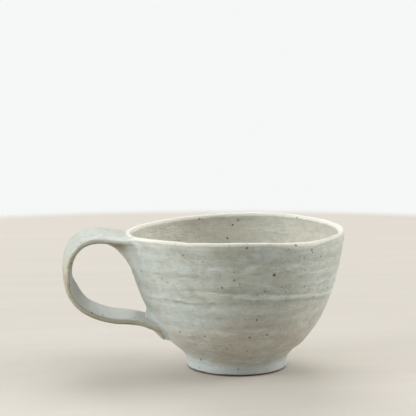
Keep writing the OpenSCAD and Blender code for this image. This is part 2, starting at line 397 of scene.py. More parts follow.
def throwingTree(material, inputNames):  # rings, ridges, lumps and sway, as the wheel and hands leave them
    tree, given, place = startTree("throwing", inputNames)
    xyz = join("ShaderNodeSeparateXYZ", {0: place}).outputs
    z = xyz["Z"]
    turn = calc("ARCTAN2", xyz["Y"], xyz["X"])
    outside = pointValue(tree, "outside")

    def uneven(name, vector=place):
        return seededNoise(vector, given["Seed"], *throwNoise[name])

    footTop, pitch = foot["height"], bowl["ringPitch"]
    wall = times(smoothMask(z, footTop, footTop + 2 * pitch),
                 smoothMask(z, wallTop, wallTop - pitch))
    pace = calc("DIVIDE", times(z, 2 * math.pi), given["Ring Pitch"])
    quick = calc("SINE", minus(pace, turn))
    slow = calc("SINE", plus(times(pace, bowl["slowShare"]), turn))
    halfInside = plus(times(outside, 0.5), 0.5)
    rings = times(plus(quick, slow), times(wall, 0.25), given["Ring Relief"], halfInside)

    waver = centred(uneven("ridgeWaver"), bowl["ridgeWaver"])
    ridges = []
    for height, fall, middle, halfWidth, relief, width in fingerRidges:
        away = minus(turn, math.radians(middle) + bowl["frontTurn"])
        drop = plus(times(calc("SINE", away), fall), waver, height)
        q = calc("DIVIDE", minus(z, drop), width)
        bell = calc("EXPONENT", times(q, q, -1.0))
        shelf = minus(1.0, times(q, bowl["ridgeShelf"]))  # steeper on its upper side
        reach = smoothMask(calc("COSINE", away), math.cos(math.radians(halfWidth)), 1.0)
        ridges.append(times(bell, shelf, times(reach, relief)))
    patches = plus(times(uneven("patches"), 3.0), -0.5)
    ridge = times(plus(*ridges), patches, outside)

    body = smoothMask(z, footTop * 0.3, footTop * 1.5)
    lumps = centred(uneven("lumps"), given["Lumps"])
    dimples = centred(uneven("dimples"), given["Dimples"])
    levelled = vectorMath("MULTIPLY", place, lineStretch)
    lines = times(centred(uneven("fingerLines", levelled), given["Finger Lines"]), wall)
    relief = plus(rings, ridge, times(plus(lumps, dimples), body), lines)

    tilt = times(calc("COSINE", plus(turn, bowl["tiltTurn"])), bowl["tiltShare"])
    saddle = calc("COSINE", minus(times(turn, 2.0), bowl["saddleTurn"]))
    rise = times(plus(tilt, times(saddle, bowl["saddleShare"])), given["Rim Sway"])
    share = calc("DIVIDE", minus(z, footTop), wallHeight)
    share = calc("MAXIMUM", share, 0.0)
    wobble = times(centred(uneven("rimWobble"), bowl["rimWobble"]),
                   smoothMask(z, bowl["wobbleStart"], bowl["height"]))
    raised = plus(times(rise, share), wobble)
    leant = times(given["Lean"], share, -1.0)
    shift = join("ShaderNodeCombineXYZ", {"X": leant, "Z": raised}).outputs[0]
    offset = vectorMath("ADD", alongNormal(relief), shift)
    endTree(given["Geometry"], offset, material)
    return tree


def throwBowl(material):
    under, wall, lipLine, inside, bottom = bowlLine()
    mesh, rows, count = latheMesh("bowl", under + wall + lipLine + inside + bottom, roundTurns())
    lipStart = (len(under) - 1 + len(wall)) * count
    lipEnd = lipStart + len(lipLine) * count
    outside = np.zeros(len(mesh.vertices))
    outside[:lipStart] = 1
    outside[lipStart:lipEnd] = np.repeat(np.linspace(1, 0, len(lipLine)), count)
    outside[rows * count] = 1  # the middle of the underside
    storeValues(mesh, "outside", outside)

    # The lip is thicker where the handle pulls on it and where it was folded over a little
    points = readPoints(mesh)
    turn = np.arctan2(points[:, 1], points[:, 0])
    lipMask = ramp(points[:, 2], lip["start"], lip["run"])
    side = np.where(outside > 0.5, 1.0, lip["innerShare"])
    fold = roundBowl(turn, lip["folds"]) * lipMask * side
    points += np.stack([np.cos(turn), np.sin(turn), np.zeros(len(turn))], 1) * fold[:, None]
    dip = roundBowl(turn, lip["dips"])
    points[:, 2] -= dip * lipMask
    writePoints(mesh, points)

    # How far each point is over the lip: 1 on its crest, fading below it on both sides
    crest = lip["crest"] + roundBowl(turn, lip["wideCrest"]) * (outside > 0.5)
    storeValues(mesh, "edgeBreak", ease(1 - (bowl["height"] - points[:, 2] - dip) / crest))
    piece = addPiece("thrownBowl", mesh)
    values = {
        "Ring Relief": bowl["ringRelief"], "Ring Pitch": bowl["ringPitch"], "Rim Sway": bowl["rimSway"],
        "Lean": bowl["lean"], "Lumps": bowl["lumps"], "Dimples": bowl["dimples"],
        "Finger Lines": bowl["fingerLines"], "Seed": bowl["seed"],
    }
    tree = throwingTree(material, values)
    runTree(piece, tree, values)
    print("bowl thrown:", len(piece.data.vertices), "points")
    return piece, tree, values, rows, count


def turnFoot(material, tree, values):
    r, e, top = foot["radius"], foot["edge"], foot["height"]
    inner = r - foot["wall"]
    seat = top + foot["tuck"]
    quarter = np.linspace(0, math.pi / 2, 9)
    line = [(r - e + e * math.sin(a), e - e * math.cos(a)) for a in quarter]
    line += [(float(outerRadius(z)), z) for z in np.linspace(foot["flareStart"], top, 26)]
    line += [(waistRadius - foot["inset"], seat), (inner + foot["inset"], seat)]
    line += [(inner, z) for z in np.linspace(top, e, 10)]
    line += [(inner + e - e * math.cos(a), e - e * math.sin(a)) for a in quarter[1:]]
    line += [(x, 0.0) for x in np.linspace(inner + e, r - e, 8)[1:-1]]
    mesh = latheMesh("footRing", line, roundTurns())[0]
    storeValues(mesh, "outside", 1.0)
    piece = addPiece("turnedFoot", mesh)
    runTree(piece, tree, values)
    points = readPoints(piece.data)
    z = points[:, 2]
    points[:, 2] = np.where(z < foot["flatBelow"], np.maximum(z, 0.0), z)
    writePoints(piece.data, points)
    piece.data.materials.clear()
    piece.data.materials.append(material)
    print("foot turned:", len(piece.data.vertices), "points")
    return piece


# The handle, pulled as a strap and luted on; a stop is a place along its line

strap = {
    "reach": 0.0348,
    "thickness": 0.0045,
    "topWidth": 0.039,
    "bendWidth": 0.037,
    "lowWidth": 0.032,
    "tailWidth": 0.023,
    "tailThickness": 0.0034,
    "drop": 0.0026,
    "low": 0.0314,
    "tailLow": 0.018,
    "power": 0.48,
    "crownPower": 0.62,
    "twist": math.radians(2),
    "crownShare": 0.58,
    "hugShare": 0.4,
    "rootDepth": 0.0022,
    "rootDrop": 0.0002,
    "tailSink": 0.0003,
    "tongue": 0.0060,  # over which length the wiped end is rounded like a tongue, and its tip thinned
    "tongueShare": 0.06,
    "tip": 0.0014,
    "tipShare": 0.1,
    "gather": 0.0027,  # clay gathered on the inside of the tightest bend, most at the back edge
    "gatherStop": 9.8,
    "gatherStops": 2.4,
    "rowLength": 0.0006,
    "across": 128,
    "pullMarks": 0.00028,
    "marksAcross": 9.0,  # how close the marks are across the strap and along it
    "marksAlong": 2.2,
    "broadShare": 0.35,
    "unevenness": 0.00055,
    "softScale": 60.0,
    "seed": 2.0,
    "freeStop": 1.2,  # from here to as far before the end the strap is uneven
    "freeStops": 1.5,
    "cornerShare": 0.95,  # the glaze runs thin over the long corners, most near the rim
    "cornerWidth": 0.06,
    "cornerOuter": 0.50,
    "cornerInner": 0.42,
    "cornerAtRim": 0.6,
    "rimStop": 3.4,
    "rimStops": 1.6,
}
loopShares = [
    (0.14, 0.972), (0.34, 0.995), (0.55, 1), (0.75, 0.96), (0.9, 0.862), (0.98, 0.73), (1, 0.58),
    (0.992, 0.42), (0.91, 0.288), (0.765, 0.174), (0.59, 0.098), (0.4, 0.043), (0.2, 0.008), (0, -0.006),
]
landingShares = [(0.32, -0.022), (0.56, -0.042), (0.75, -0.08)]
tailShares = [0.46, 0.64, 0.82, 1]
rootShare = 0.955
twistShares = [(0, 0), (0.18, -0.5), (0.45, 1), (0.6, 1), (0.82, 0), (1, 0)]


def seatReach(z, y):  # how far out the wall's face is, beside the handle's middle
    z, y = np.asarray(z, float), np.asarray(y, float)
    near = np.clip(z, foot["height"], wallTop)
    turn = math.pi - np.arcsin(np.clip(y / wallRadius(near), -1, 1))
    level = foot["height"] + (near - foot["height"]) / (1 + sway(turn) / wallHeight)
    r = wallRadius(np.clip(level, foot["height"], wallTop))
    return np.sqrt(np.maximum(r * r - y * y, 0)) + bowl["lean"] * (near - foot["height"]) / wallHeight


def strapLine():
    start = bowl["rimRadius"] + bowl["lean"]
    reach = strap["reach"] - strap["thickness"] / 2
    top = bowl["height"] - strap["drop"]
    low = strap["low"]
    root = mixed(low, top, rootShare)
    seat = float(seatReach(root, 0))
    line = [(seat - strap["rootDepth"], root - strap["rootDrop"]), (seat, root)]
    line += [(start + reach * out, mixed(low, top, up)) for out, up in loopShares]
    for inward, up in landingShares:
        z = mixed(low, top, up)
        line.append((mixed(start, float(seatReach(z, 0)), inward), z))
    for p in tailShares:
        z = mixed(low, strap["tailLow"], p)
        t = mixed(strap["thickness"], strap["tailThickness"], p)
        k = math.sqrt(1 + float(wallSlope(z)) ** 2)
        line.append((float(seatReach(z, 0)) + t * (1 - strap["crownShare"]) / k - strap["tailSink"] * p, z))
    return np.array(line)


strapPoints = strapLine()
lastStop = len(strapPoints) - 1
landStop = 1 + len(loopShares) + len(landingShares)
bendStop = 1 + (landStop - 1) / 2


def linePoint(s):
    s = np.asarray(s, float)
    i = np.clip(np.floor(s).astype(int), 0, lastStop - 1)
    k = (s - i)[:, None]
    a, b = strapPoints[np.maximum(i - 1, 0)], strapPoints[i]
    c, d = strapPoints[i + 1], strapPoints[np.minimum(i + 2, lastStop)]
    return (b * 2 + (c - a) * k + (a * 2 - b * 5 + c * 4 - d) * k ** 2 + (b * 3 - a - c * 3 + d) * k ** 3) / 2


def lineSide(s):
    step = 0.05
    way = linePoint(np.minimum(s + step, lastStop)) - linePoint(np.maximum(s - step, 0))
    way /= np.linalg.norm(way, axis=1)[:, None]
    return np.stack([-way[:, 1], way[:, 0]], 1)


def strapWidth(s):
    first = mixed(strap["topWidth"], strap["bendWidth"], ease((s - 1) / (bendStop - 1)))
    second = mixed(strap["bendWidth"], strap["lowWidth"], ease((s - bendStop) / (landStop - bendStop)))
    third = mixed(strap["lowWidth"], strap["tailWidth"], ease((s - landStop) / (lastStop - landStop)))
    return np.where(s < bendStop, first, np.where(s < landStop, second, third))


def strapDepth(s):
    return mixed(strap["thickness"], strap["tailThickness"], ease((s - landStop) / (lastStop - landStop)))


def sectionTurns(count):  # closer together in the middle of the strap's faces than at its edges
    half = count // 2
    j = np.arange(count)
    x = (j % half) * 2 / half - 1
    return math.pi * (j // half) + math.pi / 2 * (1 + np.sign(x) * np.abs(x) ** 1.5)


def hug(x, z, y):  # the strap bends round the wall near its ends
    wall = seatReach(z, np.zeros_like(y))
    return (wall - seatReach(z, y)) * (1 - ease((x - wall) / (strap["reach"] * strap["hugShare"])))


def strapSkin(s, a, wide, deep):  # a is the angle round the section, a quarter turn being outward
    s, a, wide, deep = np.broadcast_arrays(s, a, wide, deep)
    shape = s.shape
    s, a, wide, deep = s.ravel(), a.ravel(), wide.ravel(), deep.ravel()
    c, up = np.cos(a), np.sin(a)
    y = strapWidth(s) / 2 * np.sign(c) * np.abs(c) ** strap["power"] * wide
    share = np.where(up > 0, strap["crownShare"], strap["crownShare"] - 1)
    out = strapDepth(s) * share * np.abs(up) ** strap["crownPower"] * deep
    twist = math.tan(strap["twist"]) * tableValue(twistShares, np.clip((s - 1) / (landStop - 1), 0, 1))
    gather = strap["gather"] * ease(1 - np.abs(s - strap["gatherStop"]) / strap["gatherStops"])
    gather = gather * np.clip(y / strapWidth(s) + 0.5, 0, 1)
    out = out - gather * (0.15 + 0.85 * np.clip(-up, 0, 1) ** strap["crownPower"])
    p = linePoint(s) + lineSide(s) * (out - y * twist)[:, None]
    x = p[:, 0] - hug(p[:, 0], p[:, 1], y)
    return np.stack([-x, y, p[:, 1]], 1).reshape(shape + (3,))


def evenStops(length):  # stops spaced evenly along the strap's line, and its length
    fine = np.linspace(0, lastStop, 3000)
    steps = np.linalg.norm(np.diff(linePoint(fine), axis=0), axis=1)
    run = np.concatenate([[0], np.cumsum(steps)])
    return np.interp(np.linspace(0, run[-1], int(run[-1] / length) + 1), run, fine), run[-1]


def pullTree(material, inputNames):  # long marks of the wet hand, and the soft unevenness of a pulled strap
    tree, given, place = startTree("pulling", inputNames)
    across, along, free = (pointValue(tree, name) for name in ("across", "along", "free"))
    lengths = {"X": times(across, strap["marksAcross"]), "Y": times(along, strap["marksAlong"])}
    marks = seededNoise(join("ShaderNodeCombineXYZ", lengths).outputs[0], given["Seed"], 1.0, 2.0)
    broad = calc("SINE", plus(times(across, 4 * math.pi), 0.6))
    grooves = times(plus(minus(marks, 0.5), times(broad, strap["broadShare"])), given["Pull Marks"])
    soft = centred(seededNoise(place, given["Seed"], strap["softScale"], 2.0), given["Unevenness"])
    relief = times(plus(grooves, soft), free)
    endTree(given["Geometry"], alongNormal(relief), material)
    return tree


def loftMesh(name, grid):  # rows of closed sections, joined and capped
    rows, count = grid.shape[:2]
    points = np.vstack([grid.reshape(-1, 3), grid[0].mean(0), grid[-1].mean(0)])
    first, last, end = rows * count, rows * count + 1, (rows - 1) * count
    faces = []
    for a in range(0, end, count):
        b = a + count
        faces += [(a + j, b + j, b + (j + 1) % count, a + (j + 1) % count) for j in range(count)]
    faces += [(first, j, (j + 1) % count) for j in range(count)]
    faces += [(last, end + (j + 1) % count, end + j) for j in range(count)]
    return addMesh(name, points.tolist(), faces)


def roundedEnd(fromEnd, length, least):
    k = np.clip(fromEnd / length, 0, 1)
    return np.sqrt(1 - (1 - k) ** 2) * (1 - least) + least


def pullStrap(material):
    stops, run = evenStops(strap["rowLength"])
    angles = sectionTurns(strap["across"])
    fromEnd = run - np.linspace(0, run, len(stops))[:, None]
    wide = roundedEnd(fromEnd, strap["tongue"], strap["tongueShare"])
    deep = roundedEnd(fromEnd, strap["tip"], strap["tipShare"])
    mesh = loftMesh("handleStrap", strapSkin(stops[:, None], angles, wide, deep))
    s = np.append(np.repeat(stops, len(angles)), [stops[0], stops[-1]])
    a = np.append(np.tile(angles, len(stops)), [0, 0])
    outward = np.sin(a) > 0
    across = np.cos(a) * 0.5 + 0.5
    storeValues(mesh, "across", np.where(outward, across, across + 3.0))
    storeValues(mesh, "along", s)
    free = ramp(s, strap["freeStop"], strap["freeStops"]) * ramp(s, lastStop, -strap["freeStops"])
    storeValues(mesh, "free", free)
    share = np.abs(np.cos(a)) ** strap["power"]
    corner = ease(1 - np.abs(share - strap["cornerShare"]) / strap["cornerWidth"])
    outer = strap["cornerOuter"] + strap["cornerAtRim"] * ramp(s, strap["rimStop"], -strap["rimStops"])
    storeValues(mesh, "edgeBreak", corner * np.where(outward, outer, strap["cornerInner"]))
    piece = addPiece("pulledStrap", mesh)
    values = {"Pull Marks": strap["pullMarks"], "Unevenness": strap["unevenness"], "Seed": strap["seed"]}
    runTree(piece, pullTree(material, values), values)
    print("strap pulled:", len(piece.data.vertices), "points")
    return piece


# Coils of clay worked into the corners under and over the strap, and smoothed onto the wall

upperCoil = {
    "thin": 0.0535, "thick": 0.0762, "reach": 0.0165, "halfWidth": 0.0240, "peak": 0.9, "edge": 0.0180,
    "hollowShares": [(0, 0), (0.25, 0.07), (0.48, 0.19), (0.62, 0.31), (0.75, 0.46), (0.85, 0.68), (1, 1.02)],
}
lowerCoil = {
    "thin": 0.0362, "thick": 0.0297, "reach": 0.0050, "halfWidth": 0.0230, "peak": 0.9, "edge": 0.0185,
    "hollowShares": [(0, 0), (0.25, 0.08), (0.5, 0.26), (0.75, 0.56), (1, 1)],
}
coilWork = {
    "bury": 0.00016,
    "depth": 0.0016,
    "rows": 70,
    "columns": 110,
    "edgeRun": 0.004,  # how soon the coil ends beside the strap, and from which share of its height up
    "edgeShare": 0.55,
    "edgeShareRun": 0.35,
    "castFrom": -0.12,
}


def workCoil(name, sizes, skin, material):  # the wall's own face, raised under a soft hill
    places = np.linspace(-1, 1, coilWork["columns"]) * sizes["halfWidth"]
    shares = np.linspace(0, 1, coilWork["rows"])
    hill = ease(1 - np.abs(places) / sizes["halfWidth"]) ** sizes["peak"]
    rise = sizes["reach"] * np.outer(tableValue(sizes["hollowShares"], shares), hill)
    beside = ramp(np.abs(places), sizes["edge"], coilWork["edgeRun"])  # nothing stands up beside the strap
    rise *= 1 - np.outer(ramp(shares, coilWork["edgeShare"], coilWork["edgeShareRun"]), beside)
    face = np.zeros(rise.shape + (3,))
    for i, z in enumerate(mixed(sizes["thin"], sizes["thick"], shares)):
        for j, y in enumerate(places):
            hit = skin.ray_cast(Vector((coilWork["castFrom"], y, z)), Vector((1, 0, 0)))[0]
            face[i, j] = (hit[0], y, z)
    back = face + np.array([coilWork["depth"], 0, 0])
    face[:, :, 0] -= rise - coilWork["bury"]
    # Each row goes out over the face and home through the wall
    mesh = loftMesh(name, np.concatenate([face, back[:, ::-1]], axis=1))
    piece = addPiece(name, mesh)
    mesh.materials.append(material)
    print(name, "worked in:", len(mesh.vertices), "points")
    return piece, shares, hill


def storeOnFace(mesh, name, values):  # values on the coil's face, 0 on its back
    whole = np.zeros(len(mesh.vertices))
    whole[:2 * values.size] = np.concatenate([values, values * 0], axis=1).ravel()
    storeValues(mesh, name, whole)


def triangleCorners(mesh):
    mesh.calc_loop_triangles()
    corners = np.zeros(len(mesh.loop_triangles) * 3, np.int32)
    mesh.loop_triangles.foreach_get("vertices", corners)
    return corners.reshape(-1, 3)


def makeOutward(mesh):
    a, b, c = readPoints(mesh)[triangleCorners(mesh)].transpose(1, 0, 2)
    if np.einsum("ij,ij->", a, np.cross(b, c)) < 0:  # six times the volume
        mesh.flip_normals()
        mesh.update()


# Slip and glaze round every corner where the handle meets the bowl

joint = {
    "spread": 0.0042,
    "fillShare": 0.36,
    "steps": 9,
    "searchReach": 3.0,  # as shares of the spread: how far the other skin is looked for,
    "poolReach": 2.2,  # how far glaze pools from it, how far the slip fills,
    "fillReach": 1.1,
    "insideReach": 0.6,  # and how deep inside the other piece the fill dies out
    "flattest": 0.05,
    "lowCorner": (-0.080, -0.030, 0.008),  # the joints lie between these two corners
    "highCorner": (-0.030, 0.030, 0.086),
}


def skinTree(mesh):
    return BVHTree.FromPolygons(readPoints(mesh).tolist(), triangleCorners(mesh).tolist())


def signedReach(tree, point, limit):  # how far the point is out of the skin, and which way the skin faces
    place, normal, index, away = tree.find_nearest(Vector(point), limit)
    if place is None:
        return limit, None
    inside = (Vector(point) - place).dot(normal) < 0
    return (-away if inside else away), normal


def smoothLeast(a, b, k):
    h = max(k - abs(a - b), 0.0)
    return min(a, b) - h * h / (4 * k)


def blendOnto(mesh, tree):  # raises the skin towards the other piece near their corner
    spread = joint["spread"]
    limit = joint["searchReach"] * spread
    points, normals = readPoints(mesh), readNormals(mesh)
    between = np.all((points > joint["lowCorner"]) & (points < joint["highCorner"]), axis=1)
    pooled = np.zeros(len(points))
    for i in np.nonzero(between)[0]:
        p, n = points[i], normals[i]
        reach, skinNormal = signedReach(tree, p, limit)
        pooled[i] = ease(1 - max(reach, 0.0) / (joint["poolReach"] * spread))
        if skinNormal is None or reach > spread * joint["fillReach"] or reach < -spread:
            continue
        k = spread * min(max(1 - float(np.dot(n, skinNormal)), joint["flattest"]), 1.0)
        cap = joint["fillShare"] * k

        def isOpen(rise):
            return smoothLeast(rise, signedReach(tree, p + n * rise, limit)[0], k) > 0

        rise = cap
        if reach > 0 or signedReach(tree, p + n * cap, limit)[0] > 0:
            lowRise = 0.0
            for step in range(joint["steps"] if isOpen(cap) else 0):
                middle = (lowRise + rise) / 2
                if isOpen(middle):
                    rise = middle
                else:
                    lowRise = middle
        if reach < 0:
            rise *= float(ease(1 + reach / (joint["insideReach"] * spread)))
        points[i] = p + n * rise
    writePoints(mesh, points)
    return pooled


# Materials: satin celadon glaze over speckled iron-bearing stoneware

glaze = {
    "outside": (0.577, 0.612, 0.560),
    "outsideCool": (0.555, 0.617, 0.590),
    "outsideWarm": (0.545, 0.545, 0.465),
    "inside": (0.640, 0.625, 0.535),
    "lowGlaze": (0.512, 0.484, 0.415),
    "darkGlaze": (0.415, 0.430, 0.345),
    "milkyGlaze": (0.645, 0.694, 0.650),
    # pale pooled glaze, also used for painted light and a painted highlight at the joints
    "paleGlazeAndLightWhite": (0.890, 0.935, 0.915),
    "broken": (0.860, 0.842, 0.755),
    "pool": (0.590, 0.665, 0.670),
    # thick glaze, also painted light on the strap's shaded low inner face
    "thick": (0.735, 0.765, 0.705),
    "thin": (0.520, 0.500, 0.385),
    # olive of thin glaze over clay, also painted shade under the strap and in the upper joint's corner
    "olive": (0.250, 0.205, 0.130),
    "iron": (0.045, 0.028, 0.016),
    "rust": (0.330, 0.200, 0.095),
    "bareClay": (0.100, 0.062, 0.040),
    "roughness": 0.40,
    "mottleRoughness": 0.22,  # how much these make it rougher, or glossier
    "poolGloss": 0.16,
    "grainRoughness": 0.15,
    "clayRoughness": 0.40,
    "wrinkleHeight": 0.00075,
    "mottleHeight": 0.00010,
    "grainHeight": 0.00010,
    "tone": 0.975,
    # painted light on ridges and painted shade in hollows, with glaze thickness
    "reliefPaintedShading": 0.13,
    "grainScale": 900.0,  # of the noise that makes the grains uneven, and how far it moves their edges
    "grainShift": 0.0005,
    "palerClay": 2.1,
    "wipedEdge": (0.00025, -0.00010),  # over which height the glaze ends above the bare clay
    "warmth": 0.55,
    "twoSided": False,
    "footPool": 0.0,
    "breakShare": 0.0,
    "oliveShare": 0.0,
    "bareLine": 0.0,
    "lowWarmth": 0.85,
    "grainShare": 0.55,
    "poolShare": 0.80,
    "coreShare": 0.92,
    "spots": [],
}
flowStretches = {"flow": 2.2, "fineFlow": 3.2, "wheelFlow": 9.0}
glazeNoise = {  # where each is read, scale, detail, roughness, distortion
    "streak": ("flow", 38.0, 5.0, 0.62, 0.6),
    "fineStreak": ("fineFlow", 130.0, 4.0, 0.65, 0.5),
    "wheelLine": ("wheelFlow", 70.0, 3.0, 0.6, 0.3),
    "thinRun": ("flow", 64.0, 4.0, 0.62, 0.9),
    "wrinkle": ("fineFlow", 210.0, 5.0, 0.62, 1.2),
    "cloud": ("place", 19.0, 2.0, 0.5, 0.0),
    "mottle": ("place", 330.0, 3.0, 0.6, 0.0),
    "clay": ("place", 700.0, 4.0, 0.7, 0.0),
}
glazeMasks = {  # where each is 0 and where 1, in metres or as a share of a noise, and how strongly it shows
    "cool": (0.42, 0.66, 0.75),
    "warm": (0.56, 0.38),
    "lowHeight": (0.046, 0.026),
    "lowSide": (0.000, 0.026),
    "darkHeight": (0.036, 0.046),
    "darkSide": (0.012, 0.040),
    "darkEnd": (0.049, 0.038),
    "darkRuns": (0.53, 0.40, 0.55),
    "milkyRuns": (0.50, 0.66, 0.48),
    "lapTop": (0.0490, 0.0455),
    "lapFoot": (0.020, 0.030),
    "lapEdge": (0.0462, 0.0480, 0.45),
    "inside": (0.40, 0.62, 0.35),
    "wheelLine": (0.53, 0.72, 0.13),
    "poolRise": (0.020, 0.030, 0.0020),
    "footPool": (0.0098, 0.0062),
    "thinEdge": (0.02, 0.16),
    "thinPatch": (0.40, 0.62, 0.40),
    "broken": (0.30, 0.75),
    "thinShade": (0.0, 0.5),
    "olive": (0.35, 1.0),
    "fineGrain": (1.05, 0.45, 0.65),
    "largeGrain": (0.95, 0.45),
    "halo": (2.0, 0.5, 0.26),
    "pit": (1.0, 0.3, 0.00012),
    "recess": (foot["radius"] - 0.0016, foot["radius"] - 0.0022),
    "recessHeight": (0.0090, 0.0085),
}
toneShares = {"fineStreak": 0.40, "mottle": 0.36, "streak": 0.30}
raggedEdges = {  # which noise makes a mask's edge uneven, and how much
    "lowHeight": ("streak", 0.016),
    "lapEdge": ("fineStreak", 0.0024),
    "footPool": ("streak", 0.008),
    "broken": ("fineStreak", 0.5),
    "bare": ("streak", 0.0014),
}
patchiness = {  # which noise makes a stored value patchy, how much, and what is there without it
    "pooled": ("streak", 0.8, 0.35),
    "paleGlazeAndPaintedLight": ("fineStreak", 0.5, 0.75),
    "thick": ("streak", 1.0, 0.4),
}
sides = {"low": 18, "darkEnd": 75, "lap": -30, "pool": 6}  # directions in degrees right of the front
spotEdges = {"core": (1.15, 0.70), "halo": (2.0, 0.8), "haloMost": 0.6}  # in radii, and the strongest halo
glazeValues = ("edgeBreak", "pooled", "paleGlazeAndPaintedLight", "relief", "shade", "thick")  # stored on the points
grains = {  # cells in a metre, smallest and largest radius, share of the cells
    "fine": (560.0, 0.00014, 0.00040, 0.55),
    "large": (300.0, 0.00022, 0.00085),
    "pits": (330.0, 0.00010, 0.00026, 0.20),
}
# Iron spots large enough to remember: degrees right of the front, height, radius
ironSpots = [
    (20, 0.0634, 0.00080), (5, 0.0791, 0.00055), (8, 0.0791, 0.00030), (9, 0.0264, 0.00065),
    (7, 0.0207, 0.00040), (-28, 0.0738, 0.00052), (-27, 0.0722, 0.00040), (-36, 0.0559, 0.00050),
    (-35, 0.0541, 0.00042), (-34.5, 0.0515, 0.00038), (-10, 0.0557, 0.00044), (28, 0.0531, 0.00044),
    (-8.5, 0.0632, 0.00044), (-8, 0.0642, 0.00028), (42, 0.0743, 0.00042), (37, 0.0716, 0.00044),
    (36.5, 0.0607, 0.00036), (5, 0.0425, 0.00038), (8, 0.0317, 0.00034), (30, 0.0299, 0.00034),
    (-19, 0.0307, 0.00040), (-20, 0.0549, 0.00034), (-4, 0.0742, 0.00036), (-6, 0.0764, 0.00032),
    (13.5, 0.0740, 0.00030), (14.5, 0.0792, 0.00030), (16, 0.0562, 0.00034), (38.5, 0.0438, 0.00036),
    (-16, 0.0734, 0.00036), (-12, 0.0460, 0.00038), (-24, 0.0613, 0.00034), (12.5, 0.0337, 0.00028),
    (35, 0.0432, 0.00028), (-26, 0.0765, 0.00034), (-58, 0.0720, 0.00038), (55, 0.0640, 0.00034),
    (48, 0.0520, 0.00030), (-45, 0.0470, 0.00034), (-2, 0.0575, 0.00026), (60, 0.0500, 0.00030),
]
strapSpots = [  # near which place on the strap, radius
    ((-0.0993, -0.0172, 0.0583), 0.00050), ((-0.0990, -0.0179, 0.0570), 0.00042),
    ((-0.0992, -0.0176, 0.0546), 0.00046), ((-0.0981, -0.0184, 0.0534), 0.00036),
    ((-0.0965, -0.0184, 0.0532), 0.00032), ((-0.0975, -0.0184, 0.0518), 0.00038),
    ((-0.0987, -0.0181, 0.0500), 0.00036), ((-0.0968, -0.0183, 0.0495), 0.00036),
    ((-0.0996, -0.0100, 0.0560), 0.00050), ((-0.0845, -0.0176, 0.0370), 0.00042),
    ((-0.0783, -0.0150, 0.0352), 0.00056), ((-0.0960, -0.0183, 0.0655), 0.00034),
    ((-0.0720, -0.0060, 0.0820), 0.00034), ((-0.0860, 0.0050, 0.0800), 0.00034),
    ((-0.0880, -0.0130, 0.0395), 0.00030),
]


def mixColour(factor, *colours, mode="MIX"):
    first, second = ((*colour, 1.0) if isinstance(colour, tuple) else colour for colour in colours)
    inputs = {0: factor, 6: first, 7: second}
    return join("ShaderNodeMix", inputs, data_type="RGBA", blend_type=mode).outputs[2]


def layered(look, colour, layers):  # a layer is the share and the name of the colour laid over the rest
    for share, name in layers:
        colour = mixColour(share, colour, look[name])
    return colour


def greyOf(value):
    return join("ShaderNodeCombineColor", {0: value, 1: value, 2: value}).outputs[0]


def noise(vector, scale, detail, roughness, distortion):
    inputs = {"Vector": vector, "Scale": scale, "Detail": detail, "Roughness": roughness}
    return join("ShaderNodeTexNoise", dict(inputs, Distortion=distortion)).outputs[0]


def stretched(place, scale):
    return join("ShaderNodeMapping", {"Vector": place, "Scale": scale}, vector_type="POINT").outputs[0]


def speckles(vector, scale, smallest, largest, share):  # grains of mixed size in a share of the cells
    cells = join("ShaderNodeTexVoronoi", {"Vector": vector, "Scale": scale, "Randomness": 1.0})
    chance = join("ShaderNodeSeparateColor", {0: cells.outputs["Color"]}).outputs
    spread = times(calc("POWER", chance[0], 4.0), (largest - smallest) * scale)
    inside = calc("DIVIDE", cells.outputs["Distance"], plus(spread, smallest * scale))
    return inside, calc("LESS_THAN", chance[1], share)


def facing(degrees):  # the level direction that many degrees to the right of the front
    turn = bowl["frontTurn"] + math.radians(degrees)
    return (math.cos(turn), math.sin(turn), 0.0)


def wallSpot(skin, degrees, height):
    outward, start = Vector(facing(degrees)), 0.12
    return tuple(skin.ray_cast(outward * start + Vector((0, 0, height)), -outward)[0])


def glazeFields(tree):  # the places, noises and stored values that the glaze is mixed from
    place = addNode(tree, "ShaderNodeTexCoord").outputs["Object"]
    xyz = join("ShaderNodeSeparateXYZ", {0: place}).outputs
    fields = {"place": place, "x": xyz["X"], "y": xyz["Y"], "z": xyz["Z"]}
    for name, stretch in flowStretches.items():
        fields[name] = stretched(place, (1.0, 1.0, stretch))
    for name, (source, *settings) in glazeNoise.items():
        fields[name] = noise(fields[source], *settings)
    for name in ("outside", *glazeValues):
        fields[name] = addNode(tree, "ShaderNodeAttribute", attribute_name=name).outputs["Fac"]
    return SimpleNamespace(**fields)


def mask(value, name):
    low, high, *share = glazeMasks[name]
    result = smoothMask(value, low, high)
    return times(result, *share) if share else result


def ragged(f, value, name):  # the value with noise on it, so that its masks get an uneven edge
    source, amount = raggedEdges[name]
    return plus(value, centred(getattr(f, source), amount))


def patchy(f, name):
    source, swing, base = patchiness[name]
    return times(getattr(f, name), plus(times(getattr(f, source), swing), base), clamp=True)


def toSide(f, name):  # how far each place is towards one of the sides
    return vectorMath("DOT_PRODUCT", f.place, facing(sides[name]), "Value")


